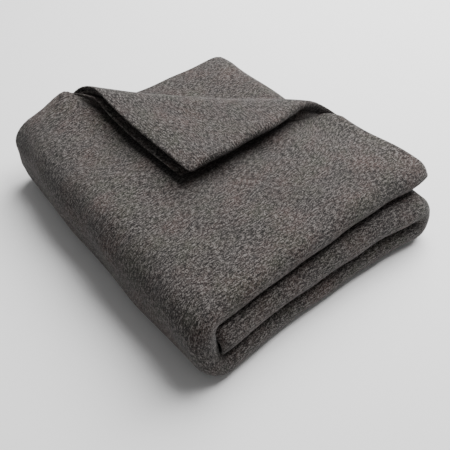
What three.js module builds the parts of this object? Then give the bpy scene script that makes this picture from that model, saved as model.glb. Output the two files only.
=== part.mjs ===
// A folded grey wool utility blanket with one corner turned back, in millimetres, +Z up.
//
// The blanket is one sheet of cloth. Its two long edges are brought to the middle, it is
// halved across, halved along, and folded in three into a bundle 24 plies high. The loose
// corner of the top third is then turned over on top. X runs along the bundle's long side
// and Y across it. The origin is under the middle of the bundle's box.

import * as THREE from 'three';

// The cloth: felted wool, as it was cut, and the pitch at which its plies lie on each other.
const CLOTH_WIDTH = 1524;
const CLOTH_LENGTH = 2180;
const CLOTH_THICKNESS = 2.5;
const PLY_PITCH = 3.7;
const STRIP_PLIES = 8;

// Air left between the thirds of the bundle, under the turned corner and at the loose ends.
const AIR_UNDER_MIDDLE = 0.8;
const AIR_UNDER_TOP = 1.2;
const AIR_UNDER_CORNER = 2;
const AIR_IN_SPINE = 4;
const EDGES_SHORT_OF_SIDE_FOLD = 3;
const END_SHORT_OF_SPINE = 1;
const TOP_SHORT_OF_BACK = 2;

const STRIP_THICKNESS = STRIP_PLIES * PLY_PITCH;
const HALF_PLY = PLY_PITCH / 2;
const PILE_HEIGHT = 3 * STRIP_THICKNESS + AIR_UNDER_MIDDLE + AIR_UNDER_TOP;
const UNDERSIDE = HALF_PLY - CLOTH_THICKNESS / 2;

// A fold turns all that lies past `start` over a pivot line at height `pivot`, and may climb
// by `rise` halfway round. `neutral` is the radius at which the cloth keeps its length, and
// `steps` the facets round the turn.
function makeFold(start, pivot, neutral, steps, rise = 0) {
  return { start, pivot, neutral, steps, rise, arc: Math.PI * neutral + rise };
}

// The side fold halves the strip along. It is the round lip at the +X side.
const SIDE_RADIUS = (STRIP_PLIES / 2 - 0.5) * PLY_PITCH;
const SIDE_HALF_ARC = Math.PI * SIDE_RADIUS / 2;
const SIDE_FOLD = makeFold(-SIDE_HALF_ARC, SIDE_RADIUS, SIDE_RADIUS, 5);

// The edge folds bring the long edges in until they nearly meet at the side fold.
const EDGE_ARC = Math.PI * HALF_PLY;
const EDGE_AT = SIDE_HALF_ARC + EDGES_SHORT_OF_SIDE_FOLD;
const EDGE_START = (CLOTH_WIDTH / 2 - EDGE_ARC + EDGE_AT) / 2;
const EDGE_FOLD = makeFold(EDGE_START, HALF_PLY, HALF_PLY, 3);

// The end fold halves the cloth across. It is the loose end of the top third.
const END_RADIUS = 1.5 * PLY_PITCH;
const END_START = (CLOTH_LENGTH - Math.PI * END_RADIUS) / 2;
const END_FOLD = makeFold(END_START, END_RADIUS, END_RADIUS, 4);
const END_REACH = END_RADIUS + CLOTH_THICKNESS / 2;

// The two spines fold the strip in three. The back spine joins the middle third to the
// bottom one, and the front spine carries the bottom third round the middle one to the top.
const BACK_PIVOT = STRIP_THICKNESS + AIR_UNDER_MIDDLE / 2;
const FRONT_PIVOT = STRIP_THICKNESS + AIR_IN_SPINE;
const FRONT_RISE = PILE_HEIGHT - 2 * FRONT_PIVOT;
const BACK_ARC = Math.PI * (BACK_PIVOT - HALF_PLY);
const FRONT_ARC = Math.PI * (FRONT_PIVOT - HALF_PLY) + FRONT_RISE;
const TRIMMED = END_SHORT_OF_SPINE + END_REACH + TOP_SHORT_OF_BACK;
const TURNED = 3 * FRONT_PIVOT + 2 * BACK_PIVOT - BACK_ARC - FRONT_ARC;
const PILE_WIDTH = (END_START + TURNED + TRIMMED) / 3;
const BACK_START = PILE_WIDTH / 2 - BACK_PIVOT;
const FRONT_START = PILE_WIDTH / 2 - FRONT_PIVOT;
const BACK_FOLD = makeFold(BACK_START, BACK_PIVOT, BACK_PIVOT - HALF_PLY, 6);
const FRONT_FOLD = makeFold(FRONT_START, FRONT_PIVOT, FRONT_PIVOT - HALF_PLY, 6, FRONT_RISE);
const FLAT_LENGTH = BACK_START + FRONT_START;
const STRIP_BEGIN = BACK_START + BACK_ARC + FLAT_LENGTH - END_SHORT_OF_SPINE;

// The strip's side fold stands at the +X side of the bundle.
const PILE_LENGTH = EDGE_START + HALF_PLY - SIDE_HALF_ARC + SIDE_RADIUS + CLOTH_THICKNESS;
const STRIP_TO_PILE_X = PILE_LENGTH / 2 + SIDE_HALF_ARC - SIDE_RADIUS - CLOTH_THICKNESS / 2;

// The strip was folded a little askew: its thirds lie shifted along X, the front spine
// bulges out at its end, and the top third is slack and turned by a small angle.
const SHIFT = { middle: -4, spine: -9, top: -9 };
const TOP_TURN = THREE.MathUtils.degToRad(2.2);
const TOP_SLACK = 0.02;

// Of the strip's two packs of four plies, the outer one stands out at the -X side and falls
// short at the loose end.
const PACK = { proud: 4, short: 5, reach: 80 };

// The corner fold turns the top third's loose corner over. Its line runs through (x, y) and
// rises towards the back by `angle` degrees.
const CORNER = { x: -76, y: 12, angle: 47 };
const CORNER_PIVOT = PILE_HEIGHT + AIR_UNDER_CORNER / 2;
const CORNER_RADIUS = 24;
const CORNER_FOLD = makeFold(0, CORNER_PIVOT, CORNER_RADIUS, 6);
const CORNER_SLOPE = THREE.MathUtils.degToRad(CORNER.angle);
const CORNER_OUT = { x: -Math.sin(CORNER_SLOPE), y: Math.cos(CORNER_SLOPE) };

// Cells across one panel of the strip, along one third, and along the loose end of the top.
const CELLS_ACROSS = 5;
const CELLS_ALONG = 4;

// Turns a point that lies `along` a sheet, at a height in it, over a fold.
function foldOver(along, height, fold) {
  const past = along - fold.start;
  if (past <= 0) return [along, height];
  const radius = fold.pivot - height;
  const climb = Math.min(Math.max(past - Math.PI * fold.neutral / 2, 0), fold.rise);
  const turn = Math.min((past - climb) / fold.neutral, Math.PI);
  const over = Math.max(past - fold.arc, 0);
  return [
    fold.start + radius * Math.sin(turn) - over,
    fold.pivot + climb - radius * Math.cos(turn),
  ];
}

// Folds the cloth into the eight-ply strip: x across it, s along it, n its depth.
function strip(across, along, height) {
  const side = across < 0 ? -1 : 1;
  const [fromMiddle, lowHeight] = foldOver(Math.abs(across), height, EDGE_FOLD);
  const [s, halfHeight] = foldOver(along, lowHeight, END_FOLD);
  const [x, fullHeight] = foldOver(side * fromMiddle, halfHeight, SIDE_FOLD);
  return { x: x + STRIP_TO_PILE_X, s, n: fullHeight + HALF_PLY };
}

function smooth(value) {
  const part = Math.min(Math.max(value, 0), 1);
  return part * part * (3 - 2 * part);
}

// Lays the strip askew: its x, and its y as it would be if it lay flat under the bundle.
function layAskew({ x, s, n }) {
  const outerPack = 1 - smooth((n - STRIP_THICKNESS / 2) / (2 * PLY_PITCH) + 0.5);
  const nearSide = smooth(1 - (x + PILE_LENGTH / 2) / PACK.reach);
  const nearEnd = smooth(1 - (END_START - s) / PACK.reach);
  const packX = x - PACK.proud * outerPack * nearSide;
  const flatY = STRIP_BEGIN - s + PACK.short * outerPack * nearEnd;
  const alongTop = Math.max(-flatY - FRONT_START - FRONT_ARC, 0);
  const toMiddle = smooth((flatY - BACK_START) / BACK_ARC);
  const roundFront = (-flatY - FRONT_START) / FRONT_ARC;
  const toSpine = smooth(2 * roundFront);
  const toTop = smooth(2 * roundFront - 1);
  const shift = SHIFT.middle * toMiddle + SHIFT.spine * toSpine + (SHIFT.top - SHIFT.spine) * toTop;
  const slack = 1 - TOP_SLACK * toTop;
  return [packX * slack + shift - TOP_TURN * alongTop, flatY - TOP_TURN * packX * toTop];
}

// How far past the corner's fold line a point at (x, y) lies.
function pastCorner(x, y) {
  return (x - CORNER.x) * CORNER_OUT.x + (y - CORNER.y) * CORNER_OUT.y;
}

// Folds the strip in three and turns the corner over.
function bundle(point) {
  const [x, flatY] = layAskew(point);
  if (flatY > 0) {
    const [y, z] = foldOver(flatY, point.n, BACK_FOLD);
    return [x, y, z];
  }
  const [awayY, z] = foldOver(-flatY, point.n, FRONT_FOLD);
  const past = pastCorner(x, -awayY);
  if (-flatY < FRONT_START + FRONT_ARC || past <= 0) return [x, -awayY, z];
  const [turned, turnedZ] = foldOver(past, z, CORNER_FOLD);
  const back = turned - past;
  return [x + back * CORNER_OUT.x, back * CORNER_OUT.y - awayY, turnedZ];
}

// Places where the pile stands higher or lies lower than its even height.
const UNEVEN = [
  { x: -205, y: -165, reach: 70, rise: -5 },
  { x: -215, y: -90, reach: 60, rise: 9 },
  { x: -90, y: 50, reach: 120, rise: -9 },
  { x: 50, y: 160, reach: 60, rise: -11 },
  { x: 160, y: 150, reach: 80, rise: 7 },
];

// Places where the pile is pushed sideways: the near corner stands out, the far one is drawn in.
const PUSHED = [
  { x: 190, y: -150, z: 15, reach: 55, right: 8, back: 5 },
  { x: -200, y: -160, z: 40, reach: 75, right: 5, back: 6 },
];

// Sinks, lifts and pushes the evenly folded bundle into its uneven shape. The underside
// stays flat.
function settle([x, y, z]) {
  let rise = 0;
  for (const spot of UNEVEN) {
    const away = Math.hypot(x - spot.x, y - spot.y) / spot.reach;
    rise += spot.rise * Math.exp(-away * away);
  }
  let [right, back] = [0, 0];
  for (const spot of PUSHED) {
    const away = Math.hypot(x - spot.x, y - spot.y, z - spot.z) / spot.reach;
    right += spot.right * Math.exp(-away * away);
    back += spot.back * Math.exp(-away * away);
  }
  const above = Math.min((z - UNDERSIDE) / (PILE_HEIGHT - UNDERSIDE), 1);
  return [x + right, y + back, z + rise * above];
}

function marks(from, to, count) {
  return Array.from({ length: count + 1 }, (_, i) => from + (to - from) * i / count);
}

// Break lines round a fold, even on each side of its climb.
function turnMarks(fold) {
  const halfTurn = Math.PI * fold.neutral / 2;
  const first = marks(fold.start, fold.start + halfTurn, fold.steps / 2);
  return [...first, ...first.map((mark) => mark + halfTurn + fold.rise)];
}

function sortedUnique(values) {
  const sorted = [...values].sort((a, b) => a - b);
  return sorted.filter((value, i) => i === 0 || value - sorted[i - 1] > 1e-6);
}

// Break lines across the cloth, mirrored about its middle.
function marksAcross() {
  const panel = marks(SIDE_HALF_ARC, EDGE_START, CELLS_ACROSS);
  const turn = marks(EDGE_START, EDGE_START + EDGE_ARC, EDGE_FOLD.steps);
  const flap = panel.slice(1).map((mark) => 2 * EDGE_START + EDGE_ARC - mark);
  const half = [...panel, ...turn, ...flap, CLOTH_WIDTH / 2];
  const side = marks(-SIDE_HALF_ARC, SIDE_HALF_ARC, SIDE_FOLD.steps);
  return sortedUnique([...half.map((mark) => -mark), ...side, ...half]);
}

// Break lines along the cloth, mirrored about the end fold.
function marksAlong() {
  const flat = marks(-FRONT_START, BACK_START, CELLS_ALONG);
  const bottom = flat;
  const back = turnMarks(BACK_FOLD);
  const front = turnMarks(FRONT_FOLD).map((y) => -y);
  const middle = flat.slice(1).map((y) => 2 * BACK_START + BACK_ARC - y);
  const top = flat.map((y) => -2 * FRONT_START - FRONT_ARC - y);
  const places = [...bottom, ...back, ...front, ...middle, ...top];
  const half = places.map((y) => STRIP_BEGIN - y).concat([0, END_START]);
  const end = marks(END_START, END_START + END_FOLD.arc, END_FOLD.steps);
  const inside = half.filter((s) => s >= 0 && s <= END_START);
  return sortedUnique([...inside, ...end, ...inside.map((s) => CLOTH_LENGTH - s)]);
}

function gridCells(acrossMarks, alongMarks) {
  const cells = [];
  for (let i = 0; i + 1 < acrossMarks.length; i++) {
    for (let j = 0; j + 1 < alongMarks.length; j++) {
      const [a0, a1] = [acrossMarks[i], acrossMarks[i + 1]];
      const [b0, b1] = [alongMarks[j], alongMarks[j + 1]];
      cells.push([[a0, b0], [a1, b0], [a1, b1], [a0, b1]]);
    }
  }
  return cells;
}

// How far past the corner's fold line a point of the flat cloth comes to lie, in the top third.
function cornerField([across, along]) {
  const [x, flatY] = layAskew(strip(across, along, 0));
  return pastCorner(x, -flatY - 2 * FRONT_START - FRONT_ARC);
}

function between(a, b, part) {
  return [a[0] + (b[0] - a[0]) * part, a[1] + (b[1] - a[1]) * part];
}

// Cuts a convex cell where the corner field passes a level.
function cutCell(cell, level) {
  const values = cell.map((point) => cornerField(point) - level);
  if (values.every((value) => value > -1e-6) || values.every((value) => value < 1e-6)) return [cell];
  const below = [];
  const above = [];
  cell.forEach((point, i) => {
    const next = (i + 1) % cell.length;
    const [value, nextValue] = [values[i], values[next]];
    if (value < 1e-6) below.push(point);
    if (value > -1e-6) above.push(point);
    if (Math.abs(value) > 1e-6 && Math.abs(nextValue) > 1e-6 && value * nextValue < 0) {
      const cut = between(point, cell[next], value / (value - nextValue));
      below.push(cut);
      above.push(cut);
    }
  });
  return [below, above];
}

function clothGeometry() {
  let cells = gridCells(marksAcross(), marksAlong());
  for (const level of marks(0, CORNER_FOLD.arc, CORNER_FOLD.steps)) {
    cells = cells.flatMap((cell) => cutCell(cell, level));
  }

  const index = new Map();
  const points = [];
  const numbered = cells.map((cell) => cell.map((point) => {
    const key = `${point[0].toFixed(3)},${point[1].toFixed(3)}`;
    if (!index.has(key)) {
      index.set(key, points.length);
      points.push(point);
    }
    return index.get(key);
  }));

  // Every ply of a cell is parted along the same diagonal, so that the plies stay apart.
  const order = points.map(([across, along]) => {
    const { x, s } = strip(across, along, 0);
    return x + s / 3;
  });
  const triangles = [];
  for (const cell of numbered) {
    const apex = cell.reduce((best, vertex, i) => (order[vertex] < order[cell[best]] ? i : best), 0);
    for (let i = 1; i + 1 < cell.length; i++) {
      const b = cell[(apex + i) % cell.length];
      const c = cell[(apex + i + 1) % cell.length];
      triangles.push([cell[apex], c, b]);
    }
  }

  const count = points.length;
  const positions = [];
  for (const height of [CLOTH_THICKNESS / 2, -CLOTH_THICKNESS / 2]) {
    for (const [across, along] of points) {
      positions.push(...settle(bundle(strip(across, along, height))));
    }
  }

  const faces = [];
  const rim = new Map();
  for (const [a, b, c] of triangles) {
    faces.push(a, b, c);
    faces.push(a + count, c + count, b + count);
    for (const [from, to] of [[a, b], [b, c], [c, a]]) {
      if (!rim.delete(`${to},${from}`)) rim.set(`${from},${to}`, [from, to]);
    }
  }
  for (const [from, to] of rim.values()) {
    faces.push(from, from + count, to + count);
    faces.push(from, to + count, to);
  }

  const geometry = new THREE.BufferGeometry();
  geometry.setAttribute('position', new THREE.Float32BufferAttribute(positions, 3));
  geometry.setIndex(faces);
  geometry.computeBoundingBox();
  const { min, max } = geometry.boundingBox;
  geometry.translate(-(min.x + max.x) / 2, -(min.y + max.y) / 2, -min.z);
  geometry.computeVertexNormals();
  return geometry;
}

const wool = new THREE.MeshStandardMaterial({ color: 0x5f5b5a, roughness: 0.95, metalness: 0 });
const blanket = new THREE.Mesh(clothGeometry(), wool);
blanket.name = 'blanket';

const foldedBlanket = new THREE.Group();
foldedBlanket.add(blanket);

export default foldedBlanket;
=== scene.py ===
import math
from collections import namedtuple

import bpy
import numpy as np
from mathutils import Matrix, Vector


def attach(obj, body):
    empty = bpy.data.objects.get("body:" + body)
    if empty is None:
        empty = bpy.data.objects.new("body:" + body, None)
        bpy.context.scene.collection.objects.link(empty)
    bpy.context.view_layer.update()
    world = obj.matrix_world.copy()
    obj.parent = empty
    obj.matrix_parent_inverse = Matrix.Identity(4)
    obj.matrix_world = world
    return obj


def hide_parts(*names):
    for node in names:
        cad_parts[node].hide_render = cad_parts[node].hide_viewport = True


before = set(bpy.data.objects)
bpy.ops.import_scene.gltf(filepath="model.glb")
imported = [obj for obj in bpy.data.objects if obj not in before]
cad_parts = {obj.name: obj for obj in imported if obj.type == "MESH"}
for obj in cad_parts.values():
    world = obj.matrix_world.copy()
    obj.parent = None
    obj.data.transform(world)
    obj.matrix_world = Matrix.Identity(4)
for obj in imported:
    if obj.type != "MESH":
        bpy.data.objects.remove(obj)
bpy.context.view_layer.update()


# The camera looks down on the bundle's near corner from the front right, from about waist
# height, through a short telephoto lens.
CAMERA_TARGET = Vector((0.0623, -0.0383, 0.0382))
CAMERA_AZIMUTH = math.radians(51.5)
CAMERA_ELEVATION = math.radians(47.0)
CAMERA_DISTANCE = 0.742
CAMERA_LENS = 51.9
SENSOR_WIDTH = 36.0

camera_back = Vector((
    math.sin(CAMERA_AZIMUTH) * math.cos(CAMERA_ELEVATION),
    -math.cos(CAMERA_AZIMUTH) * math.cos(CAMERA_ELEVATION),
    math.sin(CAMERA_ELEVATION),
))
bpy.ops.object.camera_add(location=CAMERA_TARGET + CAMERA_DISTANCE * camera_back)
camera = bpy.context.object
camera.name = "camera"
camera.rotation_euler = (-camera_back).to_track_quat("-Z", "Y").to_euler()
camera.data.lens = CAMERA_LENS
camera.data.sensor_width = SENSOR_WIDTH
bpy.context.scene.camera = camera


# The studio is a plain pale floor in a dim white room, under one large soft light that hangs
# above and behind the bundle.
FLOOR_SIZE = 12.0
FLOOR_COLOUR = (0.92, 0.92, 0.92, 1.0)
FLOOR_ROUGHNESS = 0.9
ROOM_COLOUR = (1.0, 1.0, 1.0, 1.0)
ROOM_STRENGTH = 0.22
LIGHT_PLACE = Vector((-0.25, 0.95, 1.4))
LIGHT_SIZE = 1.6
LIGHT_POWER = 90.0

bpy.ops.mesh.primitive_plane_add(size=FLOOR_SIZE)
floor = bpy.context.object
floor.name = "floor"
floor_paint = bpy.data.materials.new("floor_paint")
floor_paint.use_nodes = True
floor_shader = floor_paint.node_tree.nodes["Principled BSDF"]
floor_shader.inputs["Base Color"].default_value = FLOOR_COLOUR
floor_shader.inputs["Roughness"].default_value = FLOOR_ROUGHNESS
floor.data.materials.append(floor_paint)

room = bpy.data.worlds.new("room")
bpy.context.scene.world = room
room.use_nodes = True
room_shader = room.node_tree.nodes["Background"]
room_shader.inputs["Color"].default_value = ROOM_COLOUR
room_shader.inputs["Strength"].default_value = ROOM_STRENGTH

bpy.ops.object.light_add(type="AREA", location=LIGHT_PLACE)
back_light = bpy.context.object
back_light.name = "back_light"
back_light.data.size = LIGHT_SIZE
back_light.data.energy = LIGHT_POWER
back_light.rotation_euler = (-LIGHT_PLACE).to_track_quat("-Z", "Y").to_euler()


# The blanket is one sheet of thick felted wool, woven, milled and cut to size. Its long edges
# are brought to its middle, it is halved across and halved along, and the strip of eight plies
# is folded in three. All sizes of the folds are in millimetres, as in the solid that it covers.
CLOTH_WIDTH = 1524.0
CLOTH_LENGTH = 2180.0
SOLID_THICKNESS = 2.5
WOOL_THICKNESS = 3.4
PLY_PITCH = 3.7
STRIP_PLIES = 8
AIR_UNDER_MIDDLE = 0.8
AIR_UNDER_TOP = 1.2
AIR_UNDER_CORNER = 2.0
AIR_IN_SPINE = 4.0
EDGES_SHORT_OF_SIDE_FOLD = 3.0
END_SHORT_OF_SPINE = 1.0
TOP_SHORT_OF_BACK = 2.0

HALF_PLY = PLY_PITCH / 2
STRIP_THICKNESS = STRIP_PLIES * PLY_PITCH
PILE_HEIGHT = 3 * STRIP_THICKNESS + AIR_UNDER_MIDDLE + AIR_UNDER_TOP
UNDERSIDE = HALF_PLY - WOOL_THICKNESS / 2

# A fold turns all that lies past start over a pivot line, and may climb by rise halfway round.
Fold = namedtuple("Fold", "start pivot neutral arc rise", defaults=(0.0,))

side_radius = (STRIP_PLIES / 2 - 0.5) * PLY_PITCH
SIDE_ARC = math.pi * side_radius
side_fold = Fold(-SIDE_ARC / 2, side_radius, side_radius, SIDE_ARC)

edge_arc = math.pi * HALF_PLY
edge_start = (CLOTH_WIDTH / 2 - edge_arc + SIDE_ARC / 2 + EDGES_SHORT_OF_SIDE_FOLD) / 2
edge_fold = Fold(edge_start, HALF_PLY, HALF_PLY, edge_arc)

end_radius = 1.5 * PLY_PITCH
end_start = (CLOTH_LENGTH - math.pi * end_radius) / 2
end_fold = Fold(end_start, end_radius, end_radius, math.pi * end_radius)

back_pivot = STRIP_THICKNESS + AIR_UNDER_MIDDLE / 2
front_pivot = STRIP_THICKNESS + AIR_IN_SPINE
front_rise = PILE_HEIGHT - 2 * front_pivot
back_arc = math.pi * (back_pivot - HALF_PLY)
front_arc = math.pi * (front_pivot - HALF_PLY) + front_rise
trimmed = END_SHORT_OF_SPINE + end_radius + SOLID_THICKNESS / 2 + TOP_SHORT_OF_BACK
turned = 3 * front_pivot + 2 * back_pivot - back_arc - front_arc
PILE_WIDTH = (end_start + turned + trimmed) / 3
back_fold = Fold(PILE_WIDTH / 2 - back_pivot, back_pivot, back_pivot - HALF_PLY, back_arc)
front_fold = Fold(
    PILE_WIDTH / 2 - front_pivot, front_pivot, front_pivot - HALF_PLY, front_arc, front_rise
)
STRIP_BEGIN = 2 * back_fold.start + back_arc + front_fold.start - END_SHORT_OF_SPINE
PILE_LENGTH = edge_start + HALF_PLY - SIDE_ARC / 2 + side_radius + SOLID_THICKNESS
STRIP_TO_PILE_X = PILE_LENGTH / 2 + SIDE_ARC / 2 - side_radius - SOLID_THICKNESS / 2

# The layers lie askew, shifted to the right by these, and the top one is turned and a little
# slack. The strip is two packs of four plies. The outer pack lies proud at the left and short
# at its end, most of all under the turned corner. Every second lip is stepped back, the packs
# are pinched together at the left, and the strip's start is stretched against the spine.
SHIFT = {"middle": -4.0, "spine": -6.0, "top": -9.0}
TOP_TURN = math.radians(2.2)
TOP_SLACK = 0.02
PACK = {"proud": 4.0, "short": 5.0, "reach": 80.0}
LIP_STEP = 5.0
UNDER_FLAP = {"short": 9.0, "from": 75.0, "over": 70.0}
AGAINST_SPINE = {"stretch": 7.5, "length": 100.0, "from": 60.0, "over": 100.0}
PINCH = {"share": 0.28, "reach": 26.0}

CORNER = {"x": -76.0, "y": 12.0, "angle": math.radians(47.0)}
CORNER_OUT = (-math.sin(CORNER["angle"]), math.cos(CORNER["angle"]))
corner_fold = Fold(0.0, PILE_HEIGHT + AIR_UNDER_CORNER / 2, 24.0, math.pi * 24.0)


def fold_over(along, height, fold):
    past = along - fold.start
    radius = fold.pivot - height
    climb = np.clip(past - math.pi * fold.neutral / 2, 0.0, fold.rise)
    turn = np.clip((past - climb) / fold.neutral, 0.0, math.pi)
    over = np.maximum(past - fold.arc, 0.0)
    before = past <= 0
    return (
        np.where(before, along, fold.start + radius * np.sin(turn) - over),
        np.where(before, height, fold.pivot + climb - radius * np.cos(turn)),
    )


def smooth(value):
    part = np.clip(value, 0.0, 1.0)
    return part * part * (3 - 2 * part)


def strip(across, along, height):
    side = np.where(across < 0, -1.0, 1.0)
    from_middle, low_height = fold_over(np.abs(across), height, edge_fold)
    s, half_height = fold_over(along, low_height, end_fold)
    x, full_height = fold_over(side * from_middle, half_height, side_fold)
    x = x + STRIP_TO_PILE_X
    n = full_height + HALF_PLY
    pack_middle = np.where(n < STRIP_THICKNESS / 2, 0.25, 0.75) * STRIP_THICKNESS
    pinch = PINCH["share"] * smooth(1 - (x + PILE_LENGTH / 2) / PINCH["reach"])
    return x, s, n - (n - pack_middle) * pinch


def lay_askew(x, s, n):
    outer_pack = 1 - smooth((n - STRIP_THICKNESS / 2) / (2 * PLY_PITCH) + 0.5)
    near_side = smooth(1 - (x + PILE_LENGTH / 2) / PACK["reach"])
    near_end = smooth(1 - (end_start - s) / PACK["reach"])
    lip_back = 0.5 + 0.5 * np.cos(math.pi * (n / PLY_PITCH - 1) / 2)
    pack_x = x + (LIP_STEP * lip_back - PACK["proud"] * outer_pack) * near_side
    under_flap = smooth((UNDER_FLAP["from"] - x) / UNDER_FLAP["over"])
    short = PACK["short"] + UNDER_FLAP["short"] * under_flap
    flat_y = STRIP_BEGIN - s + short * outer_pack * near_end
    at_start = smooth(1 - s / AGAINST_SPINE["length"])
    at_right = smooth((x - AGAINST_SPINE["from"]) / AGAINST_SPINE["over"])
    flat_y = flat_y + AGAINST_SPINE["stretch"] * at_start * at_right
    along_top = np.maximum(-flat_y - front_fold.start - front_arc, 0.0)
    to_middle = smooth((flat_y - back_fold.start) / back_arc)
    round_front = (-flat_y - front_fold.start) / front_arc
    to_spine = smooth(2 * round_front)
    to_top = smooth(2 * round_front - 1)
    shift = SHIFT["middle"] * to_middle + SHIFT["spine"] * to_spine
    shift = shift + (SHIFT["top"] - SHIFT["spine"]) * to_top
    slack = 1 - TOP_SLACK * to_top
    return pack_x * slack + shift - TOP_TURN * along_top, flat_y - TOP_TURN * pack_x * to_top


# The turned corner is pressed down. At both ends of its fold the crease slides outward along
# the bundle's edge, and is drawn flat: the place along the fold, the slide to the right and to
# the back, the squeeze and the lift.
FLAP_PRESSED = 0.14
FOLD_ENDS = (
    (-182.0, 0.0, 28.0, 0.72, 8.0),
    (203.0, -34.0, 0.0, 0.65, 3.0),
)
SLIDE_REACH = 50.0
SQUEEZE_REACH = 36.0
SLIDE_FADE = 90.0
SPINE_FADE = 30.0
OUTER_EXTENT = 31.0


def close_corner(x, y, z, on_top):
    crease = PILE_HEIGHT + AIR_UNDER_CORNER / 2
    from_x, from_y = x - CORNER["x"], y - CORNER["y"]
    fold_along = from_x * CORNER_OUT[1] - from_y * CORNER_OUT[0]
    beyond = from_x * CORNER_OUT[0] + from_y * CORNER_OUT[1]
    off_spine = np.where(on_top, smooth((y + front_fold.start) / SPINE_FADE), 0.0)
    z = np.where(z > crease, z - (z - crease) * FLAP_PRESSED, z)
    inside = smooth(1 + beyond / SLIDE_FADE) * np.clip(1 - beyond / OUTER_EXTENT, 0.0, 1.0)
    top_share = smooth((z - 2 * STRIP_THICKNESS) / STRIP_THICKNESS)
    for place, right, back, squeeze, rise in FOLD_ENDS:
        at_end = off_spine * np.exp(-(((fold_along - place) / SLIDE_REACH) ** 2))
        off_fold = ((fold_along - place) ** 2 + beyond**2) / SQUEEZE_REACH**2
        at_fold = off_spine * np.exp(-off_fold)
        x = x + right * at_end * inside
        y = y + back * at_end * inside
        z = z + ((crease - z) * squeeze + rise * top_share) * at_fold
    return x, y, z


def bundle(x, s, n):
    x, flat_y = lay_askew(x, s, n)
    back_y, back_z = fold_over(flat_y, n, back_fold)
    away_y, front_z = fold_over(-flat_y, n, front_fold)
    at_back = flat_y > 0
    y = np.where(at_back, back_y, -away_y)
    z = np.where(at_back, back_z, front_z)
    past = (x - CORNER["x"]) * CORNER_OUT[0] + (y - CORNER["y"]) * CORNER_OUT[1]
    on_top = -flat_y >= front_fold.start + front_arc
    past = np.where(on_top, past, 0.0)
    over, turned_z = fold_over(past, z, corner_fold)
    back = over - past
    x = x + back * CORNER_OUT[0]
    y = y + back * CORNER_OUT[1]
    return close_corner(x, y, turned_z, on_top)


# Places where the pile stands higher or lies lower: x, y, reach, rise.
UNEVEN = (
    (-205, -165, 70, -5),
    (-215, -90, 60, 9),
    (-90, 50, 120, -9),
    (50, 160, 60, -11),
    (160, 150, 80, 5),
    (195, 160, 45, -8),
)
# Places where it is pushed sideways: x, y, z, reach, right, back.
PUSHED = (
    (190, -150, 15, 55, 8, 5),
    (-200, -160, 40, 75, 5, 6),
    (188, 155, 85, 50, 5, 3),
    (-85, 165, 50, 55, 2, 6),
    (200, 150, 25, 45, 5, 0),
    (-195, 172, 50, 30, -3, 5),
)


# The cloth ripples by a millimetre or so: the length and the height of each ripple, and the
# heading in which it runs.
RIPPLES = ((118.0, 1.0, 0.4), (73.0, 0.6, 1.9), (47.0, 0.4, -0.8))


def settle(x, y, z):
    rise = sum(
        lift * np.exp(-((x - px) ** 2 + (y - py) ** 2) / reach**2)
        for px, py, reach, lift in UNEVEN
    )
    right = 0.0
    back = 0.0
    for px, py, pz, reach, push_right, push_back in PUSHED:
        near = np.exp(-((x - px) ** 2 + (y - py) ** 2 + (z - pz) ** 2) / reach**2)
        right = right + push_right * near
        back = back + push_back * near
    for length, height, heading in RIPPLES:
        run = x * math.cos(heading) + y * math.sin(heading) + z
        ripple = height * np.sin(2 * math.pi * run / length)
        right = right + ripple * math.sin(heading)
        back = back - ripple * math.cos(heading)
        rise = rise + ripple
    above = np.minimum((z - UNDERSIDE) / (PILE_HEIGHT - UNDERSIDE), 1.0)
    return x + right, y + back, z + rise * above


# The cells of the cloth are finest where it turns most sharply, and fine wherever it shows.
CELL = {
    "side fold": 3.4, "lip": 0.9, "end fold": 2.0, "front spine": 7.5, "back spine": 8.0,
    "plain": 8.5, "middle": 12.0, "bottom": 18.0,
}


def spaced(start, end, step):
    return np.linspace(start, end, max(1, round(abs(end - start) / step)) + 1)


def marks_across():
    side = spaced(-SIDE_ARC / 2, SIDE_ARC / 2, CELL["side fold"])
    panel = spaced(SIDE_ARC / 2, edge_start, CELL["plain"])
    lip = spaced(edge_start, edge_start + edge_arc, CELL["lip"])
    flap = spaced(edge_start + edge_arc, CLOTH_WIDTH / 2, CELL["plain"])
    half = np.concatenate([panel, lip, flap])
    return np.unique(np.round(np.concatenate([-half, side, half]), 4))


def marks_along():
    back_end = back_fold.start + back_arc
    front_end = front_fold.start + front_arc
    places = np.concatenate([
        spaced(-front_fold.start, back_fold.start, CELL["bottom"]),
        spaced(back_fold.start, back_end, CELL["back spine"]),
        spaced(back_end, STRIP_BEGIN, CELL["middle"]),
        spaced(-front_fold.start, -front_end, CELL["front spine"]),
        spaced(-front_end, STRIP_BEGIN - end_start, CELL["plain"]),
    ])
    half = STRIP_BEGIN - places
    end = spaced(end_start, end_start + end_fold.arc, CELL["end fold"])
    return np.unique(np.round(np.concatenate([half, end, CLOTH_LENGTH - half]), 4))


# The cloth lies flat as a grid of cells, and its two faces are folded one after the other.
# The bundle is then set over the origin, on the floor.
BUNDLE_MIDDLE = (-0.31, 2.82)
MILLIMETRE = 0.001

across_marks = marks_across()
along_marks = marks_along()
across, along = (flat.ravel() for flat in np.meshgrid(across_marks, along_marks, indexing="ij"))
points = np.concatenate([
    np.stack(settle(*bundle(*strip(across, along, height))), axis=1)
    for height in (WOOL_THICKNESS / 2, -WOOL_THICKNESS / 2)
])
points = (points - (*BUNDLE_MIDDLE, UNDERSIDE)) * MILLIMETRE

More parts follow.
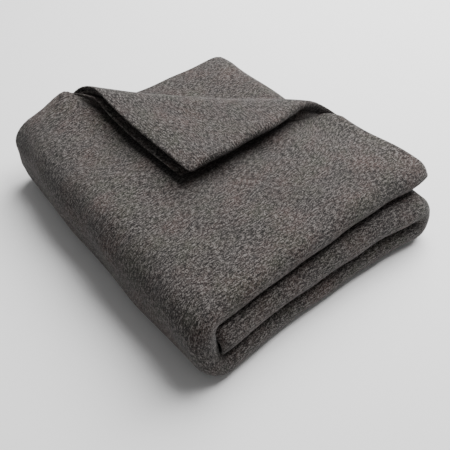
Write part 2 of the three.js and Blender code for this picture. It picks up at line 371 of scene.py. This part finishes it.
rows, columns = len(across_marks), len(along_marks)
index = np.arange(rows * columns).reshape(rows, columns)
upper = np.stack([index[:-1, :-1], index[:-1, 1:], index[1:, 1:], index[1:, :-1]], axis=-1)
upper = upper.reshape(-1, 4)
border = np.concatenate([index[0, :-1], index[:-1, -1], index[-1, :0:-1], index[:0:-1, 0]])
next_border = np.roll(border, -1)
below = rows * columns
rim = np.stack([next_border, border, border + below, next_border + below], axis=-1)
faces = np.concatenate([upper, upper[:, ::-1] + below, rim])

cloth = bpy.data.meshes.new("blanket_cloth")
cloth.from_pydata(points.tolist(), [], faces.tolist())
cloth_uv = cloth.uv_layers.new(name="cloth_metres")
flat_metres = np.tile(np.stack([across, along], axis=1) * MILLIMETRE, (2, 1))
cloth_uv.data.foreach_set("uv", flat_metres[faces.ravel()].ravel())
cloth.shade_smooth()
blanket = bpy.data.objects.new("folded_blanket", cloth)
bpy.context.collection.objects.link(blanket)
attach(blanket, "root")
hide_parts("blanket")


# The wool is reclaimed fibre of many shades, carded together and milled to a felt: dark, grey
# and pale fibres in short streaks along the cloth, with faint brown and green patches.
DARK_FIBRE = (0.007, 0.0063, 0.0061, 1.0)
GREY_FIBRE = (0.039, 0.0345, 0.033, 1.0)
PALE_FIBRE = (0.146, 0.134, 0.127, 1.0)
BROWN_FIBRE = (0.066, 0.042, 0.037, 1.0)
GREEN_FIBRE = (0.040, 0.042, 0.030, 1.0)
GRAIN = {"per_metre": 900.0, "streak": 0.7, "detail": 2.0, "roughness": 0.7, "turned": 0.0}
TUFTS = {"per_metre": 560.0, "streak": 0.32, "detail": 2.0, "roughness": 0.6, "turned": 0.15}
FIBRES = {"per_metre": 520.0, "streak": 0.192, "detail": 1.0, "roughness": 0.5, "turned": -0.35}
BROWN = {"per_metre": 26.0, "streak": 0.7, "detail": 4.0, "roughness": 0.65, "turned": 1.1}
GREEN = {"per_metre": 26.0, "streak": 0.7, "detail": 4.0, "roughness": 0.65, "turned": -0.7}
TUFT_SHARE = 0.45
BROWN_RANGE = (0.38, 0.78)
GREEN_RANGE = (0.42, 0.80)
DARK_RANGE = (0.50, 0.42)
PALE_RANGE = (0.505, 0.59)
FIBRE_RANGE = (0.66, 0.76)
WOOL_ROUGHNESS = 0.95
WOOL_SPECULAR = 0.2
SHEEN = 0.1
SHEEN_ROUGHNESS = 0.5
FELT_DEPTH = 0.0014
FELT_STRENGTH = 1.0

wool = bpy.data.materials.new("milled_wool")
wool.use_nodes = True
nodes = wool.node_tree.nodes
links = wool.node_tree.links
wool_shader = nodes["Principled BSDF"]
wool_shader.inputs["Roughness"].default_value = WOOL_ROUGHNESS
wool_shader.inputs["Sheen Weight"].default_value = SHEEN
wool_shader.inputs["Sheen Roughness"].default_value = SHEEN_ROUGHNESS
wool_shader.inputs["Specular IOR Level"].default_value = WOOL_SPECULAR

cloth_place = nodes.new("ShaderNodeUVMap")
cloth_place.uv_map = "cloth_metres"


def cloth_noise(per_metre, streak, detail, roughness, turned):
    """Noise in the cloth's plane, drawn out along the cloth by the streak."""
    mapping = nodes.new("ShaderNodeMapping")
    mapping.inputs["Rotation"].default_value = (0.0, 0.0, turned)
    mapping.inputs["Scale"].default_value = (1.0, streak, 1.0)
    noise = nodes.new("ShaderNodeTexNoise")
    noise.inputs["Scale"].default_value = per_metre
    noise.inputs["Detail"].default_value = detail
    noise.inputs["Roughness"].default_value = roughness
    links.new(cloth_place.outputs["UV"], mapping.inputs["Vector"])
    links.new(mapping.outputs["Vector"], noise.inputs["Vector"])
    return noise.outputs["Fac"]


def mixed(factor, first, second):
    """The first colour turning into the second; each is a colour or a socket."""
    mix = nodes.new("ShaderNodeMix")
    mix.data_type = "RGBA"
    for socket, value in ((mix.inputs[0], factor), (mix.inputs[6], first), (mix.inputs[7], second)):
        if isinstance(value, bpy.types.NodeSocket):
            links.new(value, socket)
        else:
            socket.default_value = value
    return mix.outputs[2]


def ramped(factor, start, end):
    """0 at the start, 1 at the end, and smooth between them."""
    ramp = nodes.new("ShaderNodeMapRange")
    ramp.interpolation_type = "SMOOTHSTEP"
    ramp.inputs["From Min"].default_value = start
    ramp.inputs["From Max"].default_value = end
    links.new(factor, ramp.inputs["Value"])
    return ramp.outputs["Result"]


def blended(first, second, share):
    """The sum of two values, with the share of the second."""
    blend = nodes.new("ShaderNodeMix")
    blend.inputs[0].default_value = share
    links.new(first, blend.inputs[2])
    links.new(second, blend.inputs[3])
    return blend.outputs[0]


grain = cloth_noise(**GRAIN)
tufts = cloth_noise(**TUFTS)
fibres = cloth_noise(**FIBRES)
brown_patches = cloth_noise(**BROWN)
green_patches = cloth_noise(**GREEN)
felt = blended(grain, tufts, TUFT_SHARE)
ground = mixed(ramped(brown_patches, *BROWN_RANGE), GREY_FIBRE, BROWN_FIBRE)
ground = mixed(ramped(green_patches, *GREEN_RANGE), ground, GREEN_FIBRE)
ground = mixed(ramped(felt, *DARK_RANGE), ground, DARK_FIBRE)
ground = mixed(ramped(felt, *PALE_RANGE), ground, PALE_FIBRE)
ground = mixed(ramped(fibres, *FIBRE_RANGE), ground, PALE_FIBRE)
links.new(ground, wool_shader.inputs["Base Color"])

felt_bump = nodes.new("ShaderNodeBump")
felt_bump.inputs["Distance"].default_value = FELT_DEPTH
felt_bump.inputs["Strength"].default_value = FELT_STRENGTH
links.new(felt, felt_bump.inputs["Height"])
links.new(felt_bump.outputs["Normal"], wool_shader.inputs["Normal"])
cloth.materials.append(wool)
